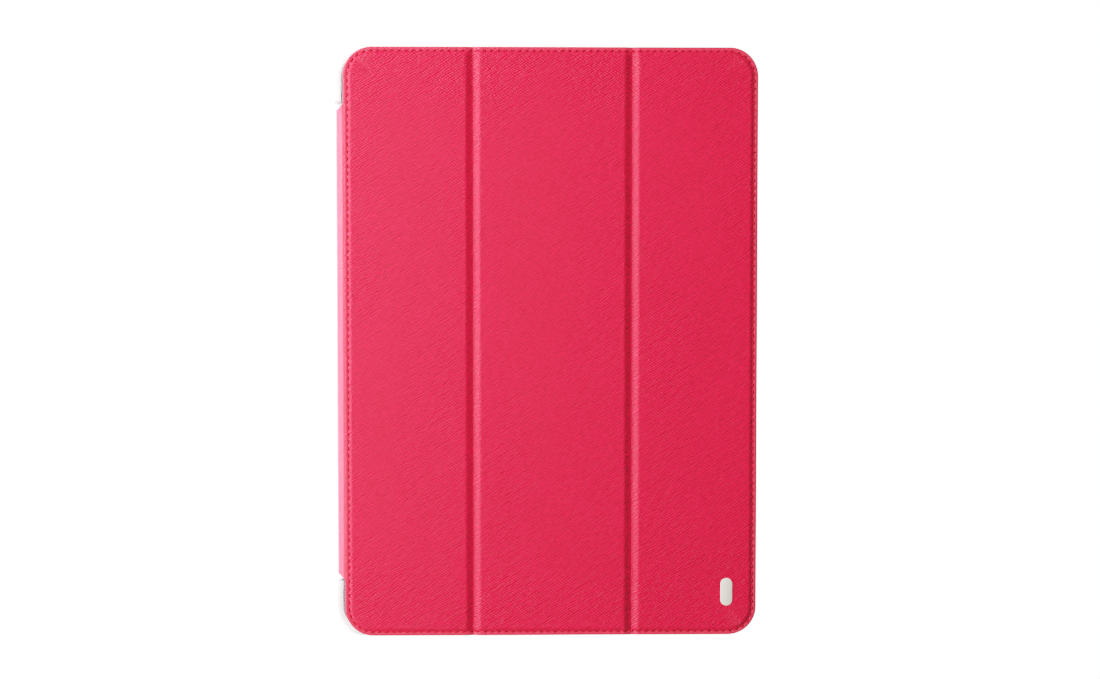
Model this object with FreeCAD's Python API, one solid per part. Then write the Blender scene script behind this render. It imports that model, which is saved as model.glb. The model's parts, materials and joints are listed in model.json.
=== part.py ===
"""Tri-fold cover case for a slim tablet: a clip-on back tray with a leather cover hinged to its left side.

Millimetres. +X points to the free edge of the cover, +Y to the tablet's top edge, +Z out of the front
cover, and the closed case lies on its back. The origin is under the middle of the tablet, on the tray's
outer back face. The cover is three boards between a leather skin and a microfibre lining, sewn round the
edge, with a fold between the boards. A strip of the same skin, the spine, joins the cover to the tray.
"""

import FreeCAD, Part
import math
import os

V = FreeCAD.Vector
UP = V(0, 0, 1)
CUT = 5.0  # how far a cutting tool runs past the material
TINY = 1e-6

# The tablet that the case holds.
tablet_width = 169.5
tablet_height = 240.0
tablet_thickness = 7.5
tablet_corner_radius = 10.5

# The tray.
bay_clearance = 0.2  # beside the tablet
lip_clearance = 0.1  # over the tablet's front face
back_thickness = 1.6
side_wall = 1.7
end_wall = 1.8
lip_thickness = 0.7
lip_overlap = 0.6  # how far a corner clip reaches over the tablet
clip_length = 23.0  # each corner clip, along its wall
wall_drop = 0.1  # the plain walls stop this far under the tablet's front face
outer_fillet = 3.5
bay_fillet = 2.2
clip_fillet = 1.2
clip_end_fillet = 1.0
low_lip_thickness = 1.5
low_lip_height = 2.6
flex_gap = 10.0  # slot between a left corner clip and the low lip

# Openings in the tray.
camera_inset_x = 11.7  # from the tablet's right edge
camera_inset_y = 11.2  # from the tablet's top edge
camera_radius = 6.0
slot_height = 5.0
jack_width = 9.0
jack_inset = 15.0  # from the tablet's left edge
microphone_radius = 1.5
power_width = 15.0
power_inset = 20.0  # from the tablet's right edge
dock_width = 14.0
speaker_width = 28.0
speaker_spacing = 62.0
volume_length = 38.0
volume_inset = 38.0  # from the tablet's top edge
notch_floor = 3.0  # bottom of the power and volume notches
notch_radius = 1.5

# The cover.
cover_end_inset = 0.2  # the cover's ends, inside the tray's ends
cover_corner_radius = 11.8
cover_gap = 0.4  # between the clips and the lining
skin_thickness = 0.8
lining_thickness = 0.4
board_thickness = 1.0
cover_overhang = 1.1  # the free edge, past the tray's right side
inner_panel_width = 53.3
outer_panel_width = 52.1
fold_gap = 0.2  # between the leather of two panels at a fold
fold_floor = 1.8  # flat bottom of a fold
fold_slope = 2.5  # from that bottom up to the padded face
edge_slope = 1.8  # from the sewn margin up to the padded face
board_setback = 0.5  # board's edge, inside the edge of the padded face

# The spine.
spine_clearance = 0.3  # between the spine's lining and the tablet
spine_bulge = 3.05  # how far the spine stands out past the cover's left edge
spine_end_gap = 0.6  # between the spine and the corner clips
spine_corner_cut = 2.3
hinge_height = 0.2  # the spine's fold line, above the low lip
flange_width = 9.0
flange_thickness = 0.6
tape_thickness = 0.1
recess_clearance = 0.3

# Sewing.
stitch_inset = 1.6  # from the cover's edge
stitch_clearance = 0.15  # between the stitches and the foot of the slope
stitch_pitch = 2.9
stitch_length = 2.1
stitch_width = 0.5
stitch_height = 0.25

# Magnets and their steel strip, in slots in the boards.
insert_thickness = 0.8
insert_clearance = 0.3
magnet_length = 14.0
magnet_width = 5.0
magnet_count = 4
magnet_spacing = 52.0
magnet_inset = 8.5  # from the free edge
sleep_length = 9.0
sleep_width = 4.0
sleep_inset = 18.0
sleep_height = 30.0
keeper_length = 170.0
keeper_width = 7.0
keeper_inset = 9.5  # from the inner panel's left edge

# The plain badge on the outer panel.
badge_width = 5.0
badge_height = 11.6
badge_thickness = 0.35
badge_depth = 0.2
badge_inset_x = 12.4
badge_inset_y = 18.0

# Sizes worked out from those.
bay_x = tablet_width / 2 + bay_clearance
bay_y = tablet_height / 2 + bay_clearance
bay_top = back_thickness + tablet_thickness + lip_clearance
lip_top = bay_top + lip_thickness
wall_top = back_thickness + tablet_thickness - wall_drop
spine_inner_x = -(tablet_width / 2 + spine_clearance)
spine_outer_x = spine_inner_x - lining_thickness - skin_thickness
shell_left = spine_outer_x - low_lip_thickness
shell_right = bay_x + side_wall
shell_y = bay_y + end_wall
clip_y = shell_y - clip_length

cover_left = spine_outer_x + spine_bulge
cover_right = shell_right + cover_overhang
cover_y = shell_y - cover_end_inset
edge_margin = stitch_inset + stitch_width / 2 + stitch_clearance
fold_foot = (fold_floor - fold_gap) / 2  # from a panel's end to the foot of its slope at a fold
inner_fold_x = cover_left + inner_panel_width
outer_fold_x = cover_right - outer_panel_width
lining_z = lip_top + cover_gap
board_z = lining_z + lining_thickness
margin_top = board_z + skin_thickness  # also the height of the fold lines
cover_top = board_z + board_thickness + skin_thickness

spine_hinge_z = low_lip_height + hinge_height
spine_y = clip_y - spine_end_gap
flange_y = spine_y - spine_corner_cut
flange_z = back_thickness - flange_thickness
recess_z = flange_z - tape_thickness
notch_top = lip_top + CUT


def box(x0, x1, y0, y1, z0, z1):
    """A box between two corners."""
    return Part.makeBox(x1 - x0, y1 - y0, z1 - z0, V(x0, y0, z0))


def outline_edges(x0, x1, y0, y1, left_radius, right_radius, z=0.0):
    """The edges round a rectangle, counterclockwise, with a corner radius for each end."""
    corners = [
        (x0 + left_radius, y0 + left_radius, left_radius, 180),
        (x1 - right_radius, y0 + right_radius, right_radius, 270),
        (x1 - right_radius, y1 - right_radius, right_radius, 0),
        (x0 + left_radius, y1 - left_radius, left_radius, 90),
    ]

    def on_corner(corner, turn):
        x, y, radius, start = corner
        angle = math.radians(start + turn)
        return V(x + radius * math.cos(angle), y + radius * math.sin(angle), z)

    edges = []
    for corner, following in zip(corners, corners[1:] + corners[:1]):
        if corner[2] > 0:
            edges.append(Part.Arc(*[on_corner(corner, turn) for turn in (0, 45, 90)]).toShape())
        start, end = on_corner(corner, 90), on_corner(following, 0)
        if start.distanceToPoint(end) > TINY:
            edges.append(Part.makeLine(start, end))
    return edges


def plate(area, z0, z1):
    """A flat plate: area is its span in X and Y and its two corner radii."""
    return Part.Face(Part.Wire(outline_edges(*area, z0))).extrude(V(0, 0, z1 - z0))


def edges_at(shape, z):
    """The edges that lie in the plane at that height."""
    return [e for e in shape.Edges if abs(e.BoundBox.ZMin - z) < TINY and abs(e.BoundBox.ZMax - z) < TINY]


def end_slot(width, x, y):
    """A tool for a round-ended slot through an end wall, halfway up the tablet's edge."""
    radius = slot_height / 2
    half = width / 2 - radius
    middle = back_thickness + tablet_thickness / 2
    tool = box(x - half, x + half, y - CUT, y + CUT, middle - radius, middle + radius)
    for side in (-half, half):
        tool = tool.fuse(Part.makeCylinder(radius, 2 * CUT, V(x + side, y - CUT, middle), V(0, 1, 0)))
    return tool.removeSplitter()


def button_notch(x0, x1, y0, y1, across):
    """A tool for a notch that is open at the top, with its floor rounded up to both ends."""
    tool = box(x0, x1, y0, y1, notch_floor, notch_top)
    rounded = [e for e in edges_at(tool, notch_floor) if abs(e.tangentAt(e.FirstParameter).dot(across)) > 0.9]
    return tool.makeFillet(notch_radius, rounded)


def back_shell():
    """The moulded tray, with four corner clips, button notches and port slots."""
    corner = tablet_corner_radius + bay_clearance
    outer_corner = corner + end_wall
    outer = plate((shell_left, shell_right, -shell_y, shell_y, outer_corner, outer_corner), 0, lip_top)
    outer = outer.makeFillet(outer_fillet, edges_at(outer, 0))
    outer = outer.makeFillet(clip_fillet, edges_at(outer, lip_top))
    bay = plate((-bay_x, bay_x, -bay_y, bay_y, corner, corner), back_thickness, bay_top)
    bay = bay.makeFillet(bay_fillet, edges_at(bay, back_thickness))
    mouth_x = tablet_width / 2 - lip_overlap
    mouth_y = tablet_height / 2 - lip_overlap
    mouth_radius = tablet_corner_radius - lip_overlap
    mouth_area = (-mouth_x, mouth_x, -mouth_y, mouth_y, mouth_radius, mouth_radius)
    mouth = plate(mouth_area, back_thickness, notch_top)
    shell = outer.cut(bay).cut(mouth)

    plain_x = (shell_left + clip_length, shell_right - clip_length)
    cuts = [
        box(*plain_x, -shell_y - CUT, shell_y + CUT, wall_top, notch_top),
        box(0, shell_right + CUT, -clip_y, clip_y, wall_top, notch_top),
        box(shell_left - CUT, -mouth_x, -clip_y, clip_y, low_lip_height, notch_top),
        box(spine_outer_x, -mouth_x, -clip_y, clip_y, back_thickness, notch_top),
    ]
    for sign in (-1, 1):
        y0, y1 = sorted((sign * clip_y, sign * (clip_y - flex_gap)))
        cuts.append(box(shell_left - CUT, -mouth_x, y0, y1, back_thickness, notch_top))
    shell = shell.cut(cuts).removeSplitter()
    shell = shell.makeFillet(clip_end_fillet, clip_end_edges(shell))
    return shell.cut([flange_recess()] + wall_openings()).removeSplitter()


def clip_end_edges(shell):
    """The upright outer edge at the free end of each left corner clip."""
    return [
        e for e in shell.Edges
        if e.BoundBox.YLength < TINY and abs(abs(e.BoundBox.YMin) - clip_y) < TINY
        and e.BoundBox.XLength < TINY and abs(e.BoundBox.XMin - shell_left) < TINY
    ]


def flange_recess():
    """The shallow pocket in the tray's floor that the spine's flange is taped into."""
    reach = flange_y + recess_clearance
    x1 = spine_outer_x + flange_width + recess_clearance
    return box(spine_outer_x, x1, -reach, reach, recess_z, back_thickness + CUT)


def wall_openings():
    """The camera window, the port slots, the microphone hole and the two button notches."""
    half_width = tablet_width / 2
    half_height = tablet_height / 2
    middle = back_thickness + tablet_thickness / 2
    camera = V(half_width - camera_inset_x, half_height - camera_inset_y, -CUT)
    power_x0 = half_width - power_inset - power_width / 2
    volume_y0 = half_height - volume_inset - volume_length / 2
    tools = [
        Part.makeCylinder(camera_radius, 2 * CUT, camera),
        Part.makeCylinder(microphone_radius, 2 * CUT, V(0, shell_y - CUT, middle), V(0, 1, 0)),
        end_slot(jack_width, jack_inset - half_width, shell_y),
        end_slot(dock_width, 0, -shell_y),
        button_notch(power_x0, power_x0 + power_width, shell_y - CUT, shell_y + CUT, V(0, 1, 0)),
        button_notch(shell_right - CUT, shell_right + CUT, volume_y0, volume_y0 + volume_length, V(1, 0, 0)),
    ]
    for side in (-1, 1):
        tools.append(end_slot(speaker_width, side * speaker_spacing / 2, -shell_y))
    return tools


def panel_span(side):
    """The X of a panel's two ends, half a fold gap short of each fold line."""
    gap = fold_gap / 2
    return {
        "inner": (cover_left, inner_fold_x - gap),
        "middle": (inner_fold_x + gap, outer_fold_x - gap),
        "outer": (outer_fold_x + gap, cover_right),
    }[side]


def panel_area(side, edge=0.0, fold=0.0):
    """A panel's span and corner radii, moved in by edge at the cover's own edges and by fold at the folds."""
    x0, x1 = panel_span(side)
    round_radius = cover_corner_radius - edge
    left, left_radius = (edge, round_radius) if side == "inner" else (fold, 0.0)
    right, right_radius = (edge, round_radius) if side == "outer" else (fold, 0.0)
    return x0 + left, x1 - right, edge - cover_y, cover_y - edge, left_radius, right_radius


def padded_area(side, rise):
    """The area inside a panel's slope, at its foot (rise 0) or at its top (rise 1)."""
    return panel_area(side, edge_margin + edge_slope * rise, fold_foot + fold_slope * rise)


def board_area(side):
    """The area of a panel's board, which reaches just under its slope."""
    return panel_area(side, edge_margin + edge_slope - board_setback, fold_foot + fold_slope - board_setback)


def panel_board(side, places=()):
    """A stiff board, with a slot through it for each insert."""
    board = plate(board_area(side), board_z, board_z + board_thickness)
    for x, y, width, length in places:
        half_x = width / 2 + insert_clearance
        half_y = length / 2 + insert_clearance
        board = board.cut(box(x - half_x, x + half_x, y - half_y, y + half_y, board_z - CUT, cover_top + CUT))
    return board


def panel_skin(side):
    """The leather of one panel: a sewn margin, a slope all round and a padded face over the board."""
    margin = plate(panel_area(side), board_z, margin_top)
    foot = Part.Wire(outline_edges(*padded_area(side, 0), margin_top))
    crown = Part.Wire(outline_edges(*padded_area(side, 1), cover_top))
    padded = Part.makeLoft([foot, crown], True, True)
    pocket = plate(board_area(side), board_z, board_z + board_thickness)
    return margin.fuse(padded).cut(pocket).removeSplitter()


def panel_lining(side):
    """The microfibre sheet under one panel."""
    return plate(panel_area(side), lining_z, board_z)


def seam_runs(side):
    """The seam on one panel: its stitch line, cut into runs by leaving out the sides at the folds."""
    area = panel_area(side, stitch_inset)
    fold_lines = set(panel_span(side)) & set(area[:2])
    runs = [[]]
    for edge in outline_edges(*area):
        if edge.BoundBox.XLength < TINY and edge.BoundBox.XMin in fold_lines:
            runs.append([])
        else:
            runs[-1].append(edge)
    runs[0] = runs.pop() + runs[0]
    return runs


def along(edges, distance):
    """The point and direction at that distance along a run of edges."""
    for edge in edges:
        if distance <= edge.Length:
            parameter = edge.getParameterByLength(distance)
            return edge.valueAt(parameter), edge.tangentAt(parameter)
        distance -= edge.Length
    raise ValueError("past the end of the seam")


def panel_thread(side):
    """The seam's stitches: short bars on the leather, and the same under the lining."""
    bars = []
    for edges in seam_runs(side):
        length = sum(e.Length for e in edges)
        count = round(length / stitch_pitch)
        for i in range(count):
            point, direction = along(edges, (i + 0.5) * length / count)
            angle = math.degrees(math.atan2(direction.y, direction.x))
            for z in (margin_top, lining_z - stitch_height):
                bar = Part.makeBox(stitch_length, stitch_width, stitch_height,
                                   V(-stitch_length / 2, -stitch_width / 2, 0))
                bar.rotate(V(0, 0, 0), UP, angle)
                bar.translate(V(point.x, point.y, z))
                bars.append(bar)
    return Part.makeCompound(bars)


def spine_section(outer, inner):
    """The spine's section between two depths under its outer face: upright, then curving in to the cover."""
    centre = V(cover_left, 0, margin_top - spine_bulge)
    slant = math.sqrt(0.5)

    def curve(depth):
        radius = spine_bulge - depth
        side = centre + V(-radius, 0, 0)
        top = centre + V(0, 0, radius)
        return side, top, Part.Arc(side, centre + V(-radius * slant, 0, radius * slant), top).toShape()

    outer_side, outer_top, outer_arc = curve(outer)
    inner_side, inner_top, inner_arc = curve(inner)
    outer_foot = V(spine_outer_x + outer, 0, spine_hinge_z)
    inner_foot = V(spine_outer_x + inner, 0, spine_hinge_z)
    lines = [
        Part.makeLine(outer_foot, outer_side),
        outer_arc,
        Part.makeLine(outer_top, inner_top),
        inner_arc,
        Part.makeLine(inner_side, inner_foot),
        Part.makeLine(inner_foot, outer_foot),
    ]
    return Part.Face(Part.Wire(Part.sortEdges(lines)[0]))


def spine_strip(outer, inner):
    """One layer of the spine, with the two corners next to the cover's edge cut at 45 degrees."""
    section = spine_section(outer, inner)
    section.translate(V(0, -spine_y, 0))
    strip = section.extrude(V(0, 2 * spine_y, 0))
    far, near = spine_outer_x - CUT, cover_left - spine_corner_cut
    plan = [
        (far, -flange_y), (near, -flange_y), (cover_left, -spine_y),
        (cover_left, spine_y), (near, flange_y), (far, flange_y), (far, -flange_y),
    ]
    keep = Part.Face(Part.makePolygon([V(x, y, 0) for x, y in plan])).extrude(V(0, 0, cover_top))
    return strip.common(keep)


def spine_skin():
    """The spine's leather, from the fold line on the low lip to the cover's left edge."""
    return spine_strip(0, skin_thickness)


def spine_lining():
    """The spine's microfibre, on the inside of the leather."""
    return spine_strip(skin_thickness, skin_thickness + lining_thickness)


def spine_flange():
    """The end of the leather: it turns under the tablet and lies in the tray's recess."""
    upright_right = spine_outer_x + skin_thickness
    upright = box(spine_outer_x, upright_right, -flange_y, flange_y, flange_z, spine_hinge_z - fold_gap / 2)
    floor = box(spine_outer_x, spine_outer_x + flange_width, -flange_y, flange_y, flange_z, back_thickness)
    return upright.fuse(floor).removeSplitter()


def flange_tape():
    """The double-sided tape that holds the flange down."""
    return box(spine_outer_x, spine_outer_x + flange_width, -flange_y, flange_y, recess_z, flange_z)


def magnet_places():
    """Centre and size of each closing magnet's slot, along the free edge."""
    x = cover_right - magnet_inset
    first = -(magnet_count - 1) / 2 * magnet_spacing
    return [(x, first + i * magnet_spacing, magnet_width, magnet_length) for i in range(magnet_count)]


def sleep_place():
    """The small magnet that wakes the tablet and sends it to sleep."""
    return (cover_right - sleep_inset, sleep_height, sleep_width, sleep_length)


def keeper_place():
    """The steel strip that the magnets grip when the cover is folded into a prism."""
    return (cover_left + keeper_inset, 0.0, keeper_width, keeper_length)


def inserts(places):
    """Flat inserts, lying on the lining in their slots."""
    blocks = [
        box(x - width / 2, x + width / 2, y - length / 2, y + length / 2, board_z, board_z + insert_thickness)
        for x, y, width, length in places
    ]
    return Part.makeCompound(blocks) if len(blocks) > 1 else blocks[0]


def badge_blank(z0, z1):
    """The badge's upright pill, between two heights."""
    x = cover_right - badge_inset_x
    y = badge_inset_y - cover_y
    radius = badge_width / 2
    area = (x - radius, x + radius, y - badge_height / 2, y + badge_height / 2, radius, radius)
    return plate(area, z0, z1)


def corner_badge():
    """A plain inlaid pill on the outer panel."""
    floor = cover_top - badge_depth
    return badge_blank(floor, floor + badge_thickness)


def outer_panel_skin():
    """The outer panel's leather, with the badge's shallow recess."""
    return panel_skin("outer").cut(badge_blank(cover_top - badge_depth, cover_top + CUT))


def main():
    parts = {
        "back_shell": back_shell(),
        "spine_flange": spine_flange(),
        "flange_tape": flange_tape(),
        "spine_skin": spine_skin(),
        "spine_lining": spine_lining(),
        "inner_panel_skin": panel_skin("inner"),
        "inner_panel_board": panel_board("inner", [keeper_place()]),
        "keeper_strip": inserts([keeper_place()]),
        "middle_panel_skin": panel_skin("middle"),
        "middle_panel_board": panel_board("middle"),
        "outer_panel_skin": outer_panel_skin(),
        "outer_panel_board": panel_board("outer", magnet_places() + [sleep_place()]),
        "closure_magnets": inserts(magnet_places()),
        "sleep_magnet": inserts([sleep_place()]),
        "corner_badge": corner_badge(),
    }
    for side in ("inner", "middle", "outer"):
        parts[f"{side}_panel_lining"] = panel_lining(side)
        parts[f"{side}_panel_thread"] = panel_thread(side)
    os.makedirs("parts", exist_ok=True)
    for name, shape in parts.items():
        shape.exportStep(f"parts/{name}.step")
        print(f"{name}: {len(shape.Solids)} solid(s), {shape.Volume:.1f} mm3, valid {shape.isValid()}")


main()
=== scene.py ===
"""Leather cover, lining, seams, badge and finishes for a hard tablet case with a tri-fold cover.

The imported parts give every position. Lengths are in metres. Along the cover, s is the distance
across the flat leather: it equals X on the panels, and runs on round the spine to the flange.
"""

import json
import math

import bmesh
import bpy
from bpy.props import FloatProperty, FloatVectorProperty, PointerProperty
from mathutils import Matrix, Vector


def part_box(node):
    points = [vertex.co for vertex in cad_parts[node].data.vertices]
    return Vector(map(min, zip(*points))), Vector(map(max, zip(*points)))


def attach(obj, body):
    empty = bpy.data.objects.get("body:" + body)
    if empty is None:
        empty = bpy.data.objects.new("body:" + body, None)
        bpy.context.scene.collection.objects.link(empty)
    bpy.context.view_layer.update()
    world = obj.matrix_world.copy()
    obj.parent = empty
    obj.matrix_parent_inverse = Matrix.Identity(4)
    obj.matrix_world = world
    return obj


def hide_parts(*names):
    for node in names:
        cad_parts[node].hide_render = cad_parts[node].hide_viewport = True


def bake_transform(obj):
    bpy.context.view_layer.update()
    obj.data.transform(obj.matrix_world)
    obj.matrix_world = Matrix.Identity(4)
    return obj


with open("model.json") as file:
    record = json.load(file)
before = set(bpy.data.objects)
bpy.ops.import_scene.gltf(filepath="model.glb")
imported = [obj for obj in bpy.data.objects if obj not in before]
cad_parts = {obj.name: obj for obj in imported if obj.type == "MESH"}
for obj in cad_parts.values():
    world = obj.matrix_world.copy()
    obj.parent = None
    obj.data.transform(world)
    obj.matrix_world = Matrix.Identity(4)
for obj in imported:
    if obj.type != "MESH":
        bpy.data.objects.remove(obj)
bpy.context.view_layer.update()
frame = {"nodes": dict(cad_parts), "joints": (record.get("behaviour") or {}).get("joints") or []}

bl_info = {
    "name": "Tri-fold tablet folio",
    "version": (1, 0, 0),
    "blender": (4, 5, 0),
    "location": "View3D > Sidebar > Folio",
    "description": "Leather, lining, seams and finishes around a tablet case's solid parts",
    "category": "Object",
}

MM = 0.001

# The parts that set the cover's places.
INNER_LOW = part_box("inner_panel_skin")[0]
OUTER_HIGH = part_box("outer_panel_skin")[1]
SPINE_LOW, SPINE_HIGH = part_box("spine_skin")
FLANGE_LOW, FLANGE_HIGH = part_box("spine_flange")
LINING_LOW, LINING_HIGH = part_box("inner_panel_lining")
BADGE_LOW, BADGE_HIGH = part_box("corner_badge")
HINGES = {joint["name"]: Vector(joint["pos_m"]) for joint in frame["joints"]}

LEFT = INNER_LOW.x
RIGHT = OUTER_HIGH.x
MIDDLE = (LEFT + RIGHT) / 2
END = OUTER_HIGH.y
MARGIN_Z = HINGES["inner_fold"].z
PAD_HEIGHT = OUTER_HIGH.z - MARGIN_Z
SKIN = MARGIN_Z - INNER_LOW.z
LINING = LINING_HIGH.z - LINING_LOW.z
FOLDS = (HINGES["inner_fold"].x, HINGES["outer_fold"].x)
SPINE_X = SPINE_LOW.x
SHOULDER = LEFT - SPINE_X
SHOULDER_Z = MARGIN_Z - SHOULDER
TONGUE_Y = SPINE_HIGH.y
FLANGE_Y = FLANGE_HIGH.y
FOOT = 1.0 * MM
FOOT_Z = FLANGE_LOW.z + FOOT
FLANGE_SKIN = 0.6 * MM

# The same places along s.
S_SHOULDER = LEFT - SHOULDER * math.pi / 2
S_FOOT = S_SHOULDER - (SHOULDER_Z - FOOT_Z)
S_FLOOR = S_FOOT - FOOT * math.pi / 2
S_END = S_FLOOR - (FLANGE_HIGH.x - SPINE_X - FOOT)
SPLIT_Z = 5.2 * MM
S_SPLIT = S_SHOULDER - (SHOULDER_Z - SPLIT_Z)
S_LINING = S_SHOULDER - (SHOULDER_Z - HINGES["spine_hinge"].z)

# The leather's small shapes: the sewn channel and its holes, the lip outside it, and the folds.
CHANNEL_DEPTH, CHANNEL_WIDTH = 0.1 * MM, 0.4 * MM
HOLE_DEPTH = 0.04 * MM
LIP_HEIGHT, LIP_WIDTH, LIP_DIP = 0.05 * MM, 0.35 * MM, 0.03 * MM
LIP_FROM_CHANNEL = 0.75 * MM
CREASE_DEPTH, CREASE_WIDTH = 0.12 * MM, 0.35 * MM
EDGE_ROUND = 0.4 * MM
TONGUE_TAPER = 8 * MM
TONGUE_EASE = 1 * MM

# Grid lines inside the edge, and each side of a fold.
RIM_LINES = [v * MM for v in (
    0, 0.08, 0.2, 0.4, 0.65, 0.9, 1.15, 1.35, 1.5, 1.6, 1.7, 1.85, 2.1, 2.4, 2.7, 3.0, 3.35, 3.75, 4.2,
    4.6, 5.0, 5.7, 6.4, 7.1, 7.8, 8.5, 9.2, 9.9, 10.6, 11.2, 11.8)]
FOLD_LINES = [v * MM for v in (0, 0.12, 0.3, 0.55, 0.85, 1.2, 1.6, 2.0, 2.4, 2.8, 3.2, 3.6)]
LINING_RIM_LINES = [v * MM for v in (0, 0.4, 0.9, 1.3, 1.6, 1.9, 2.4, 3.2, 4.5, 6.5, 9.0, 11.8)]
LINING_FOLD_LINES = [v * MM for v in (0, 0.3, 0.6, 0.9, 1.3, 2.2)]

# The brightness that the film shows as white.
WHITE = 1.85

# The stage. The floor is low enough to stay under the cover where it hangs below the tray.
FLOOR_Z = -0.06
FLOOR_SIZE = 4.0
CAMERA_LENS = 62.3
CAMERA_PLACE = (-0.0160, 0.03605, 0.79847)
CAMERA_TURN = (-2.519, -1.300, 0.008)


# ---------------------------------------------------------------- sizes and colours


def length(name, description, default):
    """A size that a user can change."""
    return FloatProperty(name=name, description=description, default=default, min=0.0, precision=5,
                         unit="LENGTH", subtype="DISTANCE")


def colour(name, description, default):
    """A colour that a user can change."""
    return FloatVectorProperty(name=name, description=description, default=default, min=0.0, max=1.0,
                               size=3, subtype="COLOR")


class FolioSizes(bpy.types.PropertyGroup):
    """Sizes of the cover's leather and seams."""

    corner_radius: length("Corner radius", "Radius of the cover's four corners", 11.8 * MM)
    stitch_inset: length("Stitch inset", "From the cover's edge to the seam", 1.6 * MM)
    stitch_pitch: length("Stitch pitch", "From one stitch to the next, before it is fitted round the cover",
                         2.9 * MM)
    stitch_length: length("Stitch length", "The part of a stitch that shows", 1.9 * MM)
    thread_width: length("Thread width", "Width of the thread", 0.62 * MM)
    thread_height: length("Thread height", "How thick the thread is", 0.42 * MM)
    margin_width: length("Margin width", "From the edge to the foot of the padded face", 1.75 * MM)
    edge_slope: length("Edge slope", "Width of the slope up to the padded face", 1.5 * MM)
    margin_rise: length("Margin rise", "The sewn margin's height over the floor of a fold", 0.55 * MM)
    fold_width: length("Fold half width", "From a fold line to the padded face", 3.3 * MM)
    grain_spacing: length("Grain spacing", "From one line of the embossed grain to the next", 0.9 * MM)


class FolioColours(bpy.types.PropertyGroup):
    """Colours of the case's materials."""

    leather: colour("Leather", "The cover's embossed leather", (0.93, 0.004, 0.056))
    thread: colour("Thread", "The seams' waxed thread", (0.5, 0.004, 0.028))
    lining: colour("Lining", "The brushed microfibre inside the cover", (0.36, 0.325, 0.32))
    tray: colour("Tray", "The frosted plastic tray", (0.95, 0.952, 0.955))
    badge: colour("Badge", "The plain inlaid badge", (0.69, 0.63, 0.555))
    floor: colour("Floor", "The studio floor", (1.0, 1.0, 1.0))


# ---------------------------------------------------------------- shader nodes


class Value:
    """A node's output, which can be used in sums and products."""

    def __init__(self, nodes, socket):
        self.nodes = nodes
        self.socket = socket

    def maths(self, operation, *values):
        return self.nodes.maths(operation, self, *values)

    def __add__(self, other):
        return self.maths("ADD", other)

    def __mul__(self, other):
        return self.maths("MULTIPLY", other)

    def __sub__(self, other):
        return self.maths("SUBTRACT", other)

    def __rsub__(self, other):
        return self.nodes.maths("SUBTRACT", other, self)

    __radd__ = __add__
    __rmul__ = __mul__


class Nodes:
    """A node tree, with a short way to add nodes to it."""

    def __init__(self, tree):
        self.tree = tree
        self.tree.nodes.clear()

    def add(self, kind, settings=None, out=0, **inputs):
        """Adds a node, then its settings, then its sockets' values or links, and gives one output."""
        node = self.tree.nodes.new("ShaderNode" + kind)
        settings = dict(settings or {})
        stops = settings.pop("stops", None)
        for key, value in settings.items():
            setattr(node, key, value)
        if stops:
            ramp = node.color_ramp
            while len(ramp.elements) < len(stops):
                ramp.elements.new(0.5)
            for element, (position, shade) in zip(ramp.elements, stops):
                element.position = position
                element.color = shade if len(shade) == 4 else (*shade, 1.0)
        for key, value in inputs.items():
            self.fill(node, key.replace("_", " "), value)
        sockets = node.outputs
        chosen = next(s for s in sockets if s.identifier == out) if isinstance(out, str) else sockets[out]
        return Value(self, chosen)

    def fill(self, node, name, value):
        """Sets or links the socket of that name."""
        socket = next(s for s in node.inputs if name in (s.identifier.replace("_", " "), s.name))
        if isinstance(value, Value):
            self.tree.links.new(value.socket, socket)
        elif hasattr(value, "__len__") and len(value) == 3 and socket.type == "RGBA":
            socket.default_value = (*value, 1.0)
        else:
            socket.default_value = value

    def maths(self, operation, *values, clamp=False):
        names = ("Value", "Value_001", "Value_002")
        return self.add("Math", {"operation": operation, "use_clamp": clamp}, **dict(zip(names, values)))

    def mix(self, factor, first, second, blend="MIX"):
        """One colour over another."""
        return self.add("Mix", {"data_type": "RGBA", "blend_type": blend, "clamp_factor": True},
                        out="Result_Color", Factor_Float=factor, A_Color=first, B_Color=second)

    def noise(self, vector, scale, detail=2.0, roughness=0.5, distortion=0.0):
        return self.add("TexNoise", Vector=vector, Scale=scale, Detail=detail, Roughness=roughness,
                        Distortion=distortion)

    def between(self, value, low, high, to_low=0.0, to_high=1.0):
        """A value's range turned into another range, clamped."""
        return self.add("MapRange", {"clamp": True}, Value=value, From_Min=low, From_Max=high,
                        To_Min=to_low, To_Max=to_high)

    def bump(self, height, distance, strength=1.0):
        return self.add("Bump", Height=height, Distance=distance, Strength=strength)

    def flat(self):
        """The leather's own flat layout, in millimetres."""
        return self.add("Mapping", Vector=self.add("UVMap", {"uv_map": "flat"}), Scale=(1000, 1000, 1000))

    def place(self):
        """Object coordinates in millimetres."""
        return self.add("Mapping", Vector=self.add("TexCoord", out="Object"), Scale=(1000, 1000, 1000))

    def mark(self, name):
        """A number painted on the piece's points."""
        return self.add("Attribute", {"attribute_name": name}, out="Fac")

    def surface(self, **sockets):
        """The principled surface and the output."""
        shader = self.add("BsdfPrincipled", **sockets)
        self.add_output("OutputMaterial", shader)
        return shader

    def add_output(self, kind, shader):
        node = self.tree.nodes.new("ShaderNode" + kind)
        self.tree.links.new(shader.socket, node.inputs["Surface"])


def new_finish(name):
    """A material and its nodes."""
    material = bpy.data.materials.new(name)
    material.use_nodes = True
    return material, Nodes(material.node_tree)


def tint(shade, factor):
    """A lighter or darker shade of a colour."""
    return tuple(min(1.0, c * factor) for c in shade)


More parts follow.
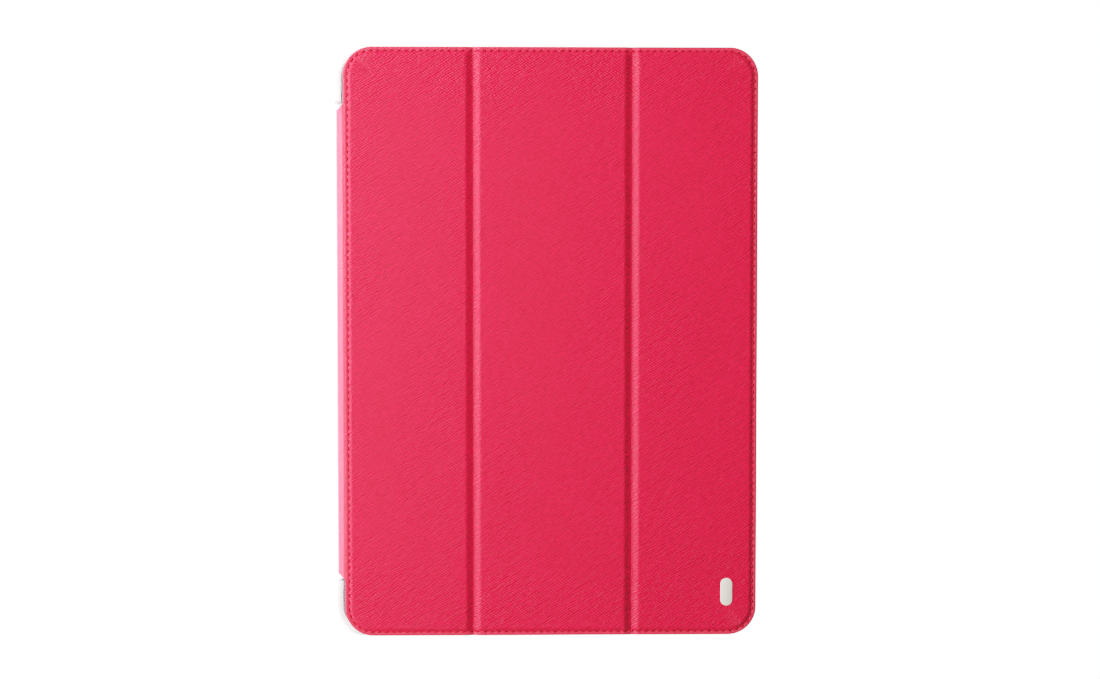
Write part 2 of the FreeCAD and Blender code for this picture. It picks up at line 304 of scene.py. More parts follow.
def hairlines(nodes, flat, angle, spacing, stretch):
    """Fine raised lines at an angle across the leather, which waver, fade and start again."""
    turned = nodes.add("Mapping", {"vector_type": "TEXTURE"}, Vector=flat,
                       Rotation=(0, 0, math.radians(angle)), Scale=(stretch, spacing * 1000, 1.0))
    waver = nodes.noise(turned, scale=0.45, detail=2.0, roughness=0.6)
    across = nodes.add("SeparateXYZ", Vector=turned, out="Y")
    wave = nodes.maths("SINE", (across + waver * 2.2) * (2 * math.pi)) * 0.5 + 0.5
    broken = nodes.between(nodes.noise(turned, scale=0.9, detail=1.5), 0.3, 0.6, 0.5, 1.0)
    return wave * broken


def leather_finish(shade, spacing):
    """Cross-grain embossed leather: fine diagonal lines, a fainter set across them, and fine pores."""
    material, nodes = new_finish("cross_grain_leather")
    flat = nodes.flat()
    rising = hairlines(nodes, flat, angle=32, spacing=spacing, stretch=2.0)
    falling = hairlines(nodes, flat, angle=-38, spacing=spacing * 1.1, stretch=1.4)
    pores = nodes.noise(flat, scale=3.2, detail=2.0, roughness=0.6)
    cloud = nodes.noise(flat, scale=0.035, detail=3.0, roughness=0.55)
    grain = rising * 0.52 + falling * 0.35 + pores * 0.42
    rim = nodes.mark("rim")
    crease = nodes.mark("crease")
    tone = nodes.between(grain, 0.25, 0.95) * 0.85 + cloud * 0.15
    colour_now = nodes.mix(tone, tint(shade, 0.42), tint(shade, 1.32))
    # Painted highlight: a pale pink laid over the margin and the spine, where the light from the left falls
    # on them.
    painted_highlight = (0.95, 0.17, 0.23)
    colour_now = nodes.mix(rim * 0.24, colour_now, painted_highlight)
    # Painted shade: a darker leather along the fold lines and the cut edge, where shade falls.
    colour_now = nodes.mix(crease * 0.4, colour_now, tint(shade, 0.66))
    rough = nodes.between(grain, 0.2, 1.0, 0.44, 0.35) + cloud * 0.04 - rim * 0.07
    relief = nodes.bump(grain * (1 - rim * 0.3), 0.00023, 1.0)
    nodes.surface(Base_Color=colour_now, Roughness=rough, Normal=relief, Specular_IOR_Level=0.32,
                  Sheen_Weight=0.05, Sheen_Roughness=0.35)
    return material


def thread_finish(shade):
    """Waxed thread, twisted from three strands."""
    material, nodes = new_finish("waxed_thread")
    turns = nodes.add("UVMap", {"uv_map": "flat"})
    split = nodes.add("SeparateXYZ", Vector=turns, out="X")
    around = nodes.add("SeparateXYZ", Vector=turns, out="Y")
    strand_pitch = 0.75
    turns_round = 2
    phase = split * (2 * math.pi / strand_pitch) + around * (2 * math.pi * turns_round)
    strands = nodes.maths("SINE", phase) * 0.5 + 0.5
    fuzz = nodes.noise(nodes.place(), scale=5.0, detail=2.0)
    tone = strands * 0.75 + fuzz * 0.25
    nodes.surface(Base_Color=nodes.mix(tone, tint(shade, 0.55), tint(shade, 1.25)),
                  Roughness=nodes.between(tone, 0.0, 1.0, 0.7, 0.55),
                  Normal=nodes.bump(strands, 0.00006, 0.7), Specular_IOR_Level=0.2)
    return material


def lining_finish(shade):
    """Brushed microfibre: a short nap with soft, uneven brush marks."""
    material, nodes = new_finish("brushed_microfibre")
    flat = nodes.flat()
    nap = nodes.noise(nodes.add("Mapping", Vector=flat, Scale=(2.2, 1.1, 1.0)), scale=1.6, detail=3.0,
                      roughness=0.7)
    strokes = nodes.noise(nodes.add("Mapping", Vector=flat, Scale=(0.09, 0.02, 1.0)), scale=1.0,
                          detail=3.0, distortion=0.8)
    tone = nodes.between(nap, 0.3, 0.7) * 0.45 + nodes.between(strokes, 0.35, 0.65) * 0.55
    nodes.surface(Base_Color=nodes.mix(tone, tint(shade, 0.8), tint(shade, 1.08)),
                  Roughness=nodes.between(nap, 0.3, 0.7, 0.98, 0.86),
                  Normal=nodes.bump(nap, 0.00012, 0.6), Specular_IOR_Level=0.2, Sheen_Weight=0.45,
                  Sheen_Roughness=0.5)
    return material


def tray_finish(shade):
    """Frosted plastic: a fine satin texture, with faint flow marks."""
    material, nodes = new_finish("frosted_plastic")
    place = nodes.place()
    frost = nodes.noise(place, scale=6.0, detail=2.0, roughness=0.6)
    flow = nodes.noise(nodes.add("Mapping", Vector=place, Scale=(0.012, 0.03, 0.05)), scale=1.0, detail=3.0)
    drawn_out = nodes.add("Mapping", Vector=place, Scale=(0.25, 0.03, 0.2), Rotation=(0, 0, 0.5))
    scuffs = nodes.between(nodes.noise(drawn_out, scale=1.0, detail=4.0), 0.6, 0.72)
    rough = nodes.between(flow, 0.3, 0.7, 0.34, 0.42) + scuffs * 0.08
    nodes.surface(Base_Color=nodes.mix(flow, tint(shade, 0.985), tint(shade, 1.02)), Roughness=rough,
                  Normal=nodes.bump(frost, 0.00002, 0.35), Subsurface_Weight=0.6,
                  Subsurface_Radius=(1.0, 1.0, 1.1), Subsurface_Scale=0.004)
    return material


def board_finish():
    """Raw grey board with short fibres."""
    material, nodes = new_finish("raw_grey_board")
    place = nodes.place()
    fibres = nodes.noise(nodes.add("Mapping", Vector=place, Scale=(0.5, 2.2, 1.0)), scale=0.9, detail=4.0)
    specks = nodes.between(nodes.noise(place, scale=1.7, detail=1.0), 0.66, 0.72)
    dark, pale, speck = (0.3, 0.26, 0.2), (0.42, 0.37, 0.3), (0.16, 0.14, 0.11)
    shade = nodes.mix(fibres, dark, pale)
    nodes.surface(Base_Color=nodes.mix(specks * 0.5, shade, speck), Roughness=0.9,
                  Normal=nodes.bump(fibres, 0.0001, 0.5))
    return material


def metal_finish(name, shade, rough_low, rough_high):
    """Bare metal with fine brush lines along the strip."""
    material, nodes = new_finish(name)
    lines = nodes.noise(nodes.add("Mapping", Vector=nodes.place(), Scale=(6.0, 0.08, 6.0)), scale=1.0,
                        detail=3.0)
    nodes.surface(Base_Color=nodes.mix(lines, tint(shade, 0.9), tint(shade, 1.06)), Metallic=1.0,
                  Roughness=nodes.between(lines, 0.3, 0.7, rough_low, rough_high),
                  Normal=nodes.bump(lines, 0.00002, 0.4))
    return material


def tape_finish():
    """Double-sided tape: a thin crinkled film over the glue."""
    material, nodes = new_finish("double_sided_tape")
    crinkle = nodes.noise(nodes.place(), scale=0.8, detail=3.0, distortion=1.2)
    nodes.surface(Base_Color=nodes.mix(crinkle, (0.76, 0.74, 0.65), (0.86, 0.84, 0.77)),
                  Roughness=nodes.between(crinkle, 0.3, 0.7, 0.35, 0.6),
                  Normal=nodes.bump(crinkle, 0.00008, 0.4))
    return material


def badge_finish(shade):
    """Satin enamel with a faint mottle."""
    material, nodes = new_finish("satin_enamel")
    mottle = nodes.noise(nodes.place(), scale=0.9, detail=3.0)
    nodes.surface(Base_Color=nodes.mix(mottle, tint(shade, 0.93), tint(shade, 1.06)),
                  Roughness=nodes.between(mottle, 0.3, 0.7, 0.3, 0.4),
                  Normal=nodes.bump(mottle, 0.00002, 0.3))
    return material


# ---------------------------------------------------------------- the cover's shape


def smooth(value, low, high):
    """0 below low, 1 above high, and a smooth step between."""
    t = min(1.0, max(0.0, (value - low) / (high - low)))
    return t * t * (3 - 2 * t)


def hump(value, centre, width):
    """1 at the centre, falling to 0 in a bell curve."""
    return math.exp(-(((value - centre) / width) ** 2))


def path(s):
    """The leather's outer face at s, without its relief: x, z, and the direction that it faces."""
    if s >= LEFT:
        return s, MARGIN_Z, 0.0, 1.0
    turn = (LEFT - s) / SHOULDER
    if turn <= math.pi / 2:
        out_x, out_z = -math.sin(turn), math.cos(turn)
        return LEFT + SHOULDER * out_x, SHOULDER_Z + SHOULDER * out_z, out_x, out_z
    if s >= S_FOOT:
        return SPINE_X, FOOT_Z + s - S_FOOT, -1.0, 0.0
    turn = (S_FOOT - s) / FOOT
    if turn <= math.pi / 2:
        out_x, out_z = -math.cos(turn), -math.sin(turn)
        return SPINE_X + FOOT + FOOT * out_x, FOOT_Z + FOOT * out_z, out_x, out_z
    return SPINE_X + FOOT + S_FLOOR - s, FLANGE_LOW.z, 0.0, -1.0


def spread(start, end, count):
    """Evenly spaced lines from start to end."""
    return [start + (end - start) * i / count for i in range(count + 1)]


def with_lines(must, between, gap):
    """The lines that have to be there, and those others that aren't too near to them."""
    return sorted(must + [v for v in between if all(abs(v - m) > gap for m in must)])


class CoverShape:
    """The cover's outline and relief, for the sizes that are set."""

    def __init__(self, sizes):
        self.radius = sizes.corner_radius
        self.inset = sizes.stitch_inset
        self.margin = sizes.margin_width
        self.slope = sizes.edge_slope
        self.fold = sizes.fold_width
        self.margin_rise = sizes.margin_rise
        self.side = END - self.radius
        self.top = (RIGHT - LEFT) / 2 - self.radius
        self.seam_radius = self.radius - self.inset
        loop = 4 * (self.side + self.top) + 2 * math.pi * self.seam_radius
        self.stitches = 4 * round((loop / sizes.stitch_pitch - 2) / 4) + 2
        self.pitch = loop / self.stitches

    def rows(self, rim, step):
        """Lines across the cover, from its lower end to its upper end."""
        must = [END - d for d in rim] + [TONGUE_Y]
        half = with_lines(must, [k * step for k in range(1, int(self.side / step) + 1)], 0.25 * MM)
        return [-v for v in reversed(half)] + [0.0] + half

    def columns(self, rim, folds, step):
        """Lines from the cover's left edge to its right edge."""
        near_folds = [f + sign * e for f in FOLDS for e in folds for sign in (-1, 1)]
        near_ends = [LEFT + d for d in rim] + [RIGHT - d for d in rim]
        must = sorted({round(v, 8) for v in near_ends + near_folds})
        count = int((RIGHT - LEFT) / 2 / step)
        plain = [MIDDLE + k * step for k in range(-count, count + 1)]
        plain = [v for v in plain if all(abs(v - f) > max(folds) for f in FOLDS)
                 and LEFT + max(rim) < v < RIGHT - max(rim)]
        return with_lines(must, plain, 0.25 * MM)

    def cut(self, near):
        """The middle of the stitch nearest to an X, where the cover is cut between two pieces."""
        return MIDDLE + (math.floor((near - MIDDLE) / self.pitch) + 0.5) * self.pitch

    def seat(self, s, y):
        """A flat point's place inside the rounded corners and the tongue's tapered ends."""
        if s < LEFT:
            x = path(s)[0] if s > S_SHOULDER else SPINE_X
            reach = min(TONGUE_Y, FLANGE_Y + max(0.0, x - (LEFT - (TONGUE_Y - FLANGE_Y))))
            share = max(0.0, (abs(y) - (TONGUE_Y - TONGUE_TAPER)) / TONGUE_TAPER)
            return s, math.copysign(abs(y) - share * (TONGUE_Y - reach), y)
        from_left = s - LEFT < RIGHT - s
        p = self.radius - (s - LEFT if from_left else RIGHT - s)
        q = self.radius - (END - abs(y))
        if p <= 0 or q <= 0:
            return s, y
        reach = max(p, q)
        turn = math.pi / 4 * min(p, q) / reach
        turn = turn if p >= q else math.pi / 2 - turn
        across = reach * math.cos(turn)
        centre = LEFT + self.radius - across if from_left else RIGHT - self.radius + across
        return centre, math.copysign(self.side + reach * math.sin(turn), y)

    def around(self, s, y):
        """The distance along the seam, from the middle of the nearer side."""
        p = abs(s - MIDDLE) - self.top
        q = abs(y) - self.side
        if p > 0 and q > 0:
            turn = math.pi / 4 * min(p, q) / max(p, q)
            turn = turn if p >= q else math.pi / 2 - turn
            return self.side + self.seam_radius * turn
        if p > q:
            return abs(y)
        return self.side + self.seam_radius * math.pi / 2 + self.top - abs(s - MIDDLE)

    def edge_distance(self, s, y):
        """How far inside the cover's edge a point is."""
        return min(s - LEFT, RIGHT - s, END - abs(y))

    def beside_folds(self, s):
        """0 on a fold line, and 1 from the padded faces on."""
        return math.prod(smooth(abs(s - fold), 0.2 * MM, self.fold) for fold in FOLDS)

    def pocket(self, s, y):
        """How far the board lifts the leather's underside, from 0 on the margin to 1."""
        if s < LEFT:
            return 0.0
        inside = self.edge_distance(s, y)
        return smooth(inside, self.margin, self.margin + self.slope) * self.beside_folds(s)

    def over_board(self, s, y):
        """True where the leather's underside lies flat on the board."""
        return self.pocket(s, y) > 0.9999

    def margin_height(self, s, y):
        """The sewn margin's height over a fold's floor. Beside the spine it rises in a soft curve."""
        free = smooth(abs(y), TONGUE_Y, TONGUE_Y + TONGUE_EASE)
        curve = smooth(s, LEFT - 2.4 * MM, LEFT + 1.4 * MM)
        return self.margin_rise * self.beside_folds(s) * (free + (1 - free) * curve)

    def relief(self, s, y):
        """The outer face's height over the floor of a fold."""
        if s < LEFT:
            return self.margin_height(s, y)
        inside = self.edge_distance(s, y)
        hole = 0.5 - 0.5 * math.cos(2 * math.pi * self.around(s, y) / self.pitch)
        height = (PAD_HEIGHT - self.margin_rise) * self.pocket(s, y) + self.margin_height(s, y)
        height -= (CHANNEL_DEPTH + HOLE_DEPTH * hole) * hump(inside, self.inset, CHANNEL_WIDTH)
        height += (LIP_HEIGHT - LIP_DIP * hole) * hump(inside, self.inset - LIP_FROM_CHANNEL, LIP_WIDTH)
        for fold in FOLDS:
            height -= CREASE_DEPTH * math.exp(-abs(s - fold) / CREASE_WIDTH)
        free = min(RIGHT - s, END - abs(y))
        if abs(y) > TONGUE_Y:
            beside_tongue = 2 * MM * (1 - smooth(abs(y), TONGUE_Y, TONGUE_Y + TONGUE_EASE))
            free = min(free, s - LEFT + beside_tongue)
        if free < EDGE_ROUND:
            height -= EDGE_ROUND - math.sqrt(EDGE_ROUND ** 2 - (EDGE_ROUND - free) ** 2)
        return height

    def rim(self, s, y):
        """Where a pale highlight is painted and the grain is smoother: 1 on the margin outside the seam, 0
        on the padded face, and most on the spine.
        """
        if s < LEFT:
            return 1.5
        return 1 - smooth(self.edge_distance(s, y), self.inset - 0.5 * MM, self.inset + 0.5 * MM)

    def crease(self, s, y):
        """Painted shade: 1 along a fold line, and more along the cut edge."""
        edge = min(abs(s - LEFT), RIGHT - s, END - abs(y))
        along_folds = sum(math.exp(-abs(s - fold) / (0.45 * MM)) for fold in FOLDS)
        return along_folds + 1.8 * math.exp(-edge / (0.22 * MM))

    def leather_top(self, s, y):
        """A point of the leather's outer face."""
        across, along = self.seat(s, y)
        x, z, out_x, out_z = path(across)
        height = self.relief(s, y)
        return Vector((x + out_x * height, along, z + out_z * height))

    def leather_under(self, s, y):
        """A point of the leather's underside, which the board lifts."""
        across, along = self.seat(s, y)
        x, z, out_x, out_z = path(across)
        depth = SKIN + (FLANGE_SKIN - SKIN) * smooth(S_FOOT - s, 0, FOOT * math.pi / 2)
        depth -= PAD_HEIGHT * self.pocket(s, y)
        return Vector((x - out_x * depth, along, z - out_z * depth))

    def lining_top(self, s, y):
        """A point of the lining's face that is glued to the leather."""
        across, along = self.seat(s, y)
        x, z, out_x, out_z = path(across)
        return Vector((x - out_x * SKIN, along, z - out_z * SKIN))

    def lining_under(self, s, y):
        """A point of the lining's brushed face, pressed in along the seam and the folds."""
        across, along = self.seat(s, y)
        x, z, out_x, out_z = path(across)
        depth = SKIN + LINING
        if s >= LEFT:
            depth -= 0.12 * MM * hump(self.edge_distance(s, y), self.inset, 0.5 * MM)
            depth -= 0.1 * MM * sum(hump(s, fold, 0.5 * MM) for fold in FOLDS)
        return Vector((x - out_x * depth, along, z - out_z * depth))


def sheet_object(name, columns, rows, outer, inner, marks, flat_under=None):
    """A thin closed sheet: a grid in the cover's outline, whose two faces go where outer and inner say.

    Where flat_under says that the underside is level, its faces are joined into one.
    """
    bm = bmesh.new()
    bmesh.ops.create_grid(bm, x_segments=len(columns) - 1, y_segments=len(rows) - 1, size=1.0)
    for index, vertex in enumerate(bm.verts):
        vertex.co = (columns[index % len(columns)], rows[index // len(columns)], 0.0)
    beside_tongue = [f for f in bm.faces
                     if f.calc_center_median().x < LEFT and abs(f.calc_center_median().y) > TONGUE_Y]
    bmesh.ops.delete(bm, geom=beside_tongue, context="FACES")
    layers = {key: bm.verts.layers.float.new(key) for key in marks}
    uv = bm.loops.layers.uv.new("flat")
    for face in bm.faces:
        for loop in face.loops:
            loop[uv].uv = loop.vert.co.xy
    for vertex in bm.verts:
        for key, layer in layers.items():
            vertex[layer] = marks[key](vertex.co.x, vertex.co.y)
    raised = bmesh.ops.extrude_face_region(bm, geom=bm.faces[:], use_keep_orig=True)["geom"]
    upper = {v for v in raised if isinstance(v, bmesh.types.BMVert)}
    if flat_under:
        level = [f for f in bm.faces if all(v not in upper and flat_under(v.co.x, v.co.y) for v in f.verts)]
        bmesh.ops.dissolve_faces(bm, faces=level, use_verts=True)
    for vertex in bm.verts:
        s, y = vertex.co.x, vertex.co.y
        vertex.co = outer(s, y) if vertex in upper else inner(s, y)
    bmesh.ops.recalc_face_normals(bm, faces=bm.faces[:])
    finish_edges(bm)
    return mesh_object(name, bm)


def finish_edges(bm, angle=math.radians(38)):
    """Smooth faces, with sharp edges where two faces meet at more than the angle."""
    for face in bm.faces:
        face.smooth = True
    for edge in bm.edges:
        edge.smooth = len(edge.link_faces) != 2 or edge.calc_face_angle() < angle


def mesh_object(name, bm):
    """The finished object of a bmesh."""
    mesh = bpy.data.meshes.new(name)
    bm.to_mesh(mesh)
    bm.free()
    made = bpy.data.objects.new(name, mesh)
    bpy.context.scene.collection.objects.link(made)
    return made


def dress(made, material):
    """Gives a piece its finish."""
    made.data.materials.append(material)


def cover_splits(shape):
    """The two cuts between the cover's pieces, in the middle of the inner and the middle panel."""
    first = shape.cut((LEFT + FOLDS[0]) / 2)
    second = shape.cut((FOLDS[0] + FOLDS[1]) / 2)
    return first, second


def sheet_lines(shape, rim, folds, step, foot):
    """Columns for the cover's four pieces: spine, left, centre and right."""
    first, second = cover_splits(shape)
    panel = shape.columns(rim, folds, step)
    panel = with_lines([first, second], panel, 0.2 * MM)
    side = spread(S_SPLIT, S_SHOULDER, 5)
    shoulder = spread(S_SHOULDER, LEFT, 10)[1:-1]
    return {
        "spine": foot + spread(max(S_FOOT, foot[-1]), S_SPLIT, 10)[1:],
        "left": side + shoulder + [c for c in panel if c <= first],
        "centre": [c for c in panel if first <= c <= second],
        "right": [c for c in panel if c >= second],
    }


def bend(made):
    """Bakes a piece's transform into its mesh."""

    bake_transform(made)


# ---------------------------------------------------------------- operators


class FOLIO_OT_leather(bpy.types.Operator):
    """Makes the cover's leather in four pieces."""

    bl_idname = "folio.leather"
    bl_label = "Leather cover"

    def execute(self, context):
        sizes = context.scene.folio_sizes
        shape = CoverShape(sizes)
        material = leather_finish(context.scene.folio_colours.leather, sizes.grain_spacing)
        rows = shape.rows(RIM_LINES, shape.pitch / 4)
        foot = spread(S_END, S_FLOOR, 8) + spread(S_FLOOR, S_FOOT, 6)[1:]
        lines = sheet_lines(shape, RIM_LINES, FOLD_LINES, shape.pitch / 4, foot)
        stands_for = {
            "spine": ("spine_flange", "spine_skin"),
            "left": ("inner_panel_skin",),
            "centre": ("middle_panel_skin",),
            "right": ("outer_panel_skin",),
        }
        for part, columns in lines.items():
            kept_rows = [r for r in rows if abs(r) <= TONGUE_Y] if part == "spine" else rows
            made = sheet_object("leather_" + part, columns, kept_rows, shape.leather_top,
                                shape.leather_under, {"rim": shape.rim, "crease": shape.crease},
                                shape.over_board)
            dress(made, material)
            bend(made)
            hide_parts(*stands_for[part])
            columns[-1] - columns[0]
            2 * kept_rows[-1]
        return {"FINISHED"}


class FOLIO_OT_lining(bpy.types.Operator):
    """Makes the microfibre lining inside the cover."""

    bl_idname = "folio.lining"
    bl_label = "Lining"

    def execute(self, context):
        shape = CoverShape(context.scene.folio_sizes)
        material = lining_finish(context.scene.folio_colours.lining)
        rows = shape.rows(LINING_RIM_LINES, 4 * MM)
        lines = sheet_lines(shape, LINING_RIM_LINES, LINING_FOLD_LINES, 4 * MM, [S_LINING])
        stands_for = {
            "spine": "spine_lining",
            "left": "inner_panel_lining",
            "centre": "middle_panel_lining",
            "right": "outer_panel_lining",
        }
        for part, columns in lines.items():
            kept_rows = [r for r in rows if abs(r) <= TONGUE_Y] if part == "spine" else rows
            made = sheet_object("lining_" + part, columns, kept_rows, shape.lining_top,
                                shape.lining_under, {})
            dress(made, material)
            bend(made)
            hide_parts(stands_for[part])
            if part == "spine":
                strip = made
                continue
            columns[-1] - columns[0]
            2 * kept_rows[-1]
            "leather_" + part
            [strip] if part == "left" else []
        return {"FINISHED"}


def stitch_mesh(sizes):
    """One stitch along X: a bent thread, with its ends going down into the holes."""
    bm = bmesh.new()
    bmesh.ops.create_uvsphere(bm, u_segments=8, v_segments=6, radius=1.0)
    bmesh.ops.rotate(bm, verts=bm.verts[:], cent=(0, 0, 0), matrix=Matrix.Rotation(math.pi / 2, 3, "Y"))
    uv = bm.loops.layers.uv.new("flat")
    half = sizes.stitch_length / 2
    for face in bm.faces:
        for loop in face.loops:
            side = loop.vert.co
            turn = math.atan2(side.y, side.z) / (2 * math.pi)
            centre = face.calc_center_median()
            if centre.y < 0 and centre.z < 0 and turn > 0.4:
                turn -= 1.0
            loop[uv].uv = (side.x * half * 1000, turn)
        face.smooth = True
    for vertex in bm.verts:
        x = vertex.co.x
        thin = math.sqrt((1 - x ** 4) / max(1e-6, 1 - x ** 2)) if abs(x) < 0.999 else 1.0
        vertex.co.y *= thin * sizes.thread_width / 2
        vertex.co.z *= thin * sizes.thread_height / 2
        vertex.co.z -= 0.3 * MM * x ** 4
        vertex.co.x *= half
    mesh = bpy.data.meshes.new("one_stitch")
    bm.to_mesh(mesh)
    bm.free()
    return mesh


def seam_place(shape, distance):
    """The point and direction at a distance along the seam, from the right side's middle, anticlockwise."""
    side, top, corner = 2 * shape.side, 2 * shape.top, shape.seam_radius * math.pi / 2
    right, left = RIGHT - shape.inset, LEFT + shape.inset
    upper = END - shape.inset
    start = distance + shape.side
    runs = [
        ("line", side, Vector((right, -shape.side)), 90),
        ("turn", corner, Vector((MIDDLE + shape.top, shape.side)), 0),
        ("line", top, Vector((MIDDLE + shape.top, upper)), 180),
        ("turn", corner, Vector((MIDDLE - shape.top, shape.side)), 90),
        ("line", side, Vector((left, shape.side)), 270),
        ("turn", corner, Vector((MIDDLE - shape.top, -shape.side)), 180),
        ("line", top, Vector((MIDDLE - shape.top, -upper)), 0),
        ("turn", corner, Vector((MIDDLE + shape.top, -shape.side)), 270),
    ]
    start %= sum(run[1] for run in runs)
    for kind, size, origin, heading in runs:
        if start <= size:
            break
        start -= size
    angle = math.radians(heading)
    if kind == "line":
        return origin + Vector((math.cos(angle), math.sin(angle))) * start, angle
    angle += start / shape.seam_radius
    point = origin + Vector((math.cos(angle), math.sin(angle))) * shape.seam_radius
    return point, angle + math.pi / 2


class FOLIO_OT_seams(bpy.types.Operator):
    """Sews the seam round the cover, on the leather and under the lining."""

    bl_idname = "folio.seams"
    bl_label = "Seams"

    def execute(self, context):
        sizes = context.scene.folio_sizes
        shape = CoverShape(sizes)
        material = thread_finish(context.scene.folio_colours.thread)
        first, second = cover_splits(shape)
        one = stitch_mesh(sizes)
        ends = {"left": (LEFT, first), "centre": (first, second), "right": (second, RIGHT)}
        slant = math.radians(5)
        outside = MARGIN_Z + 0.03 * MM
        inside = MARGIN_Z - SKIN - LINING + 0.02 * MM
        for part, (low, high) in ends.items():
            bm = bmesh.new()
            for index in range(shape.stitches):
                point, angle = seam_place(shape, index * shape.pitch)
                if not low <= point.x + 1e-7 < high:
                    continue
                rise = shape.margin_rise * shape.beside_folds(point.x)
                for z, over in ((outside + rise, 0.0), (inside, math.pi)):
                    first_new = len(bm.verts)
                    bm.from_mesh(one)
                    bm.verts.ensure_lookup_table()
                    turned = Matrix.Rotation(angle + slant, 4, "Z") @ Matrix.Rotation(over, 4, "X")
                    place = Matrix.Translation((point.x, point.y, z)) @ turned
                    bmesh.ops.transform(bm, matrix=place, verts=bm.verts[first_new:])
            made = mesh_object("seam_" + part, bm)
            dress(made, material)
            if part == "left":
                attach(made, "inner_panel")
            else:
                bend(made)
            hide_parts({"left": "inner_panel_thread", "centre": "middle_panel_thread",
                               "right": "outer_panel_thread"}[part])
        bpy.data.meshes.remove(one)
        return {"FINISHED"}


class FOLIO_OT_badge(bpy.types.Operator):
    """Makes the plain inlaid badge, with a softly rounded rim."""

    bl_idname = "folio.badge"
    bl_label = "Badge"

    def execute(self, context):
        material = badge_finish(context.scene.folio_colours.badge)
        middle = (BADGE_LOW + BADGE_HIGH) / 2
        radius = (BADGE_HIGH.x - BADGE_LOW.x) / 2
        straight = (BADGE_HIGH.y - BADGE_LOW.y) / 2 - radius
        bm = bmesh.new()
        bmesh.ops.create_circle(bm, cap_ends=True, segments=48, radius=radius)
        for vertex in bm.verts:
            vertex.co.y += math.copysign(straight, vertex.co.y)
        rise = BADGE_HIGH.z - BADGE_LOW.z
        top = bmesh.ops.extrude_face_region(bm, geom=bm.faces[:], use_keep_orig=True)["geom"]
        top_verts = [v for v in top if isinstance(v, bmesh.types.BMVert)]
        bmesh.ops.translate(bm, vec=(0, 0, rise), verts=top_verts)
        rim = [e for e in bm.edges if all(v.co.z > rise / 2 for v in e.verts)]
        softness = 0.14 * MM
        bmesh.ops.bevel(bm, geom=rim, offset=softness, offset_type="OFFSET", segments=3, profile=0.5,
                        affect="EDGES", material=-1)
        bmesh.ops.translate(bm, vec=(middle.x, middle.y, BADGE_LOW.z), verts=bm.verts[:])
        bmesh.ops.recalc_face_normals(bm, faces=bm.faces[:])
        finish_edges(bm)
        made = mesh_object("badge_pill", bm)
        dress(made, material)
        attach(made, "outer_panel")
        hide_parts("corner_badge")
        return {"FINISHED"}


class FOLIO_OT_hard_parts(bpy.types.Operator):
    """Gives the tray, boards, metal inserts and tape their finishes."""

    bl_idname = "folio.hard_parts"
    bl_label = "Tray and inserts"

    def execute(self, context):
        colours = context.scene.folio_colours
        tray = tray_finish(colours.tray)
        board = board_finish()
        steel = metal_finish("strip_steel", (0.55, 0.56, 0.58), rough_low=0.28, rough_high=0.42)
        nickel = metal_finish("nickel_plate", (0.74, 0.73, 0.7), rough_low=0.14, rough_high=0.22)
        finishes = {
            "back_shell": tray,
            "inner_panel_board": board,
            "middle_panel_board": board,
            "outer_panel_board": board,
            "keeper_strip": steel,
            "closure_magnets": nickel,
            "sleep_magnet": nickel,
            "flange_tape": tape_finish(),
        }
        for name, material in finishes.items():
            for slot in frame["nodes"][name].material_slots:
                slot.material = material
        return {"FINISHED"}


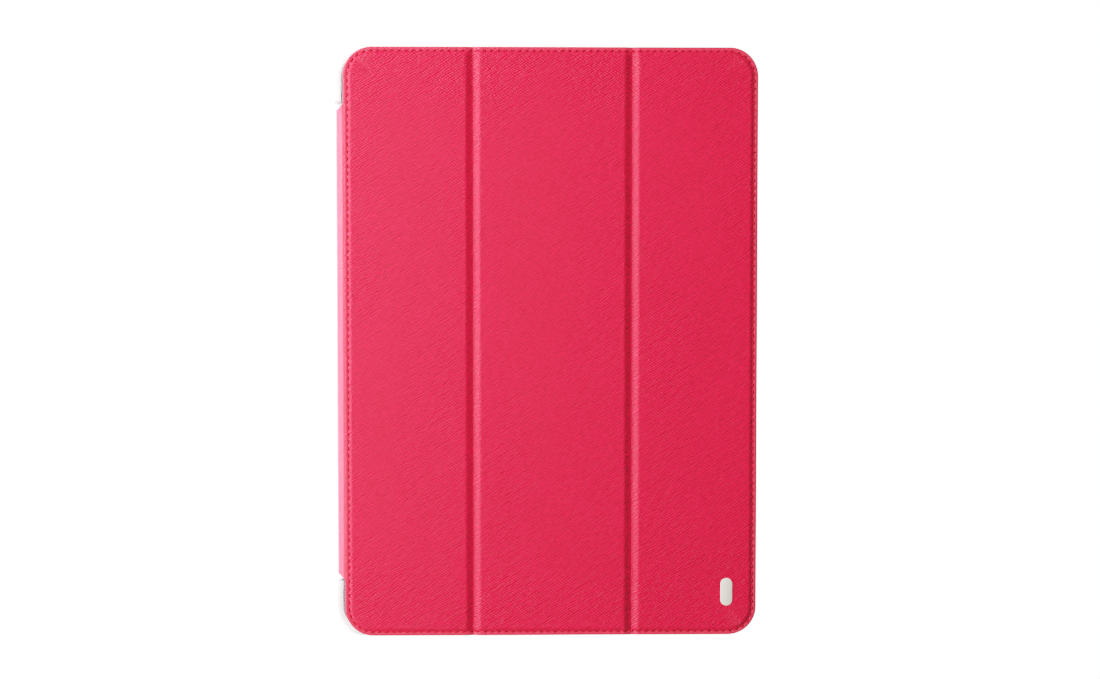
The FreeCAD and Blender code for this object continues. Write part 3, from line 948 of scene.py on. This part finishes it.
class FOLIO_OT_stage(bpy.types.Operator):
    """Sets the pale floor, the soft studio light and the camera."""

    bl_idname = "folio.stage"
    bl_label = "Studio"

    def execute(self, context):
        scene = context.scene
        self.film(scene.view_settings)
        self.floor(scene.folio_colours.floor)
        self.sky(scene)
        self.softbox("key_light", place=(-0.47, 0.15, 0.29), width=0.95, height=0.44, power=11.0)
        camera = bpy.data.cameras.new("camera")
        camera.lens = CAMERA_LENS
        camera.sensor_width = 36.0
        camera.clip_start = 0.01
        stand = bpy.data.objects.new("camera", camera)
        stand.location = CAMERA_PLACE
        stand.rotation_euler = [math.radians(angle) for angle in CAMERA_TURN]
        scene.collection.objects.link(stand)
        scene.camera = stand
        return {"FINISHED"}

    def film(self, view):
        """A plain view with a soft shoulder, so that bright colours don't clip."""
        view.view_transform = "Standard"
        view.use_curve_mapping = True
        curve = view.curve_mapping
        curve.white_level = (WHITE, WHITE, WHITE)
        points = curve.curves[3].points
        points[0].location = (0.0, 0.0)
        points[1].location = (1.0, 1.0)
        for bright, shown in ((0.3, 0.3), (0.6, 0.59), (1.0, 0.76), (1.4, 0.85), (1.65, 0.93)):
            points.new(bright / WHITE, shown)
        curve.update()

    def floor(self, shade):
        """A glowing floor, seen from above only, which lights nothing."""
        bm = bmesh.new()
        bmesh.ops.create_grid(bm, x_segments=8, y_segments=8, size=FLOOR_SIZE)
        bmesh.ops.translate(bm, vec=(0, 0, FLOOR_Z), verts=bm.verts[:])
        floor = mesh_object("floor", bm)
        material, nodes = new_finish("light_table")
        glow = nodes.add("Emission", Color=tuple(shade), Strength=WHITE)
        below = nodes.add("NewGeometry", out="Backfacing")
        clear = nodes.add("BsdfTransparent")
        nodes.add_output("OutputMaterial", nodes.add("MixShader", Fac=below, Shader=glow, Shader_001=clear))
        floor.data.materials.append(material)
        floor.visible_diffuse = False
        floor.visible_glossy = False
        floor.visible_transmission = False

    def sky(self, scene):
        """Soft light from all round, brightest low down and on the left, and white behind the object."""
        scene.world = bpy.data.worlds.new("studio")
        scene.world.use_nodes = True
        nodes = Nodes(scene.world.node_tree)
        around = nodes.add("TexCoord", out="Generated")
        height = nodes.add("SeparateXYZ", Vector=around, out="Z")
        across = nodes.add("SeparateXYZ", Vector=around, out="X")
        soft = nodes.between(height, 0.0, 0.9, 0.85, 0.03) + nodes.between(height, -0.3, 0.0, 0.9, 0.0)
        soft += nodes.between(across, -0.95, -0.25, 1.3, 0.0)
        seen = nodes.add("LightPath", out="Is Camera Ray")
        shade = soft + seen * WHITE
        nodes.add_output("OutputWorld", nodes.add("Background", Color=(1.0, 1.0, 1.0), Strength=shade))

    def softbox(self, name, place, width, height, power):
        """A flat lamp that faces the case."""
        light = bpy.data.lights.new(name, "AREA")
        light.shape = "RECTANGLE"
        light.size = width
        light.size_y = height
        light.energy = power
        lamp = bpy.data.objects.new(name, light)
        lamp.location = place
        lamp.rotation_euler = (-Vector(place)).to_track_quat("-Z", "Y").to_euler()
        bpy.context.scene.collection.objects.link(lamp)


class FOLIO_PT_sidebar(bpy.types.Panel):
    """The folio's sizes, colours and pieces."""

    bl_idname = "FOLIO_PT_sidebar"
    bl_label = "Folio"
    bl_space_type = "VIEW_3D"
    bl_region_type = "UI"
    bl_category = "Folio"

    def draw(self, context):
        for group in (context.scene.folio_sizes, context.scene.folio_colours):
            box = self.layout.box()
            for key in group.__annotations__:
                box.prop(group, key)
        for operator in OPERATORS:
            self.layout.operator(operator.bl_idname)


OPERATORS = (FOLIO_OT_stage, FOLIO_OT_leather, FOLIO_OT_lining, FOLIO_OT_seams, FOLIO_OT_badge,
             FOLIO_OT_hard_parts)
CLASSES = (FolioSizes, FolioColours, *OPERATORS, FOLIO_PT_sidebar)


def register():
    for cls in CLASSES:
        bpy.utils.register_class(cls)
    bpy.types.Scene.folio_sizes = PointerProperty(type=FolioSizes)
    bpy.types.Scene.folio_colours = PointerProperty(type=FolioColours)


def unregister():
    del bpy.types.Scene.folio_colours
    del bpy.types.Scene.folio_sizes
    for cls in reversed(CLASSES):
        bpy.utils.unregister_class(cls)


def main():
    register()
    bpy.ops.folio.stage()
    bpy.ops.folio.leather()
    bpy.ops.folio.lining()
    bpy.ops.folio.seams()
    bpy.ops.folio.badge()
    bpy.ops.folio.hard_parts()


if __name__ == "__main__":
    main()
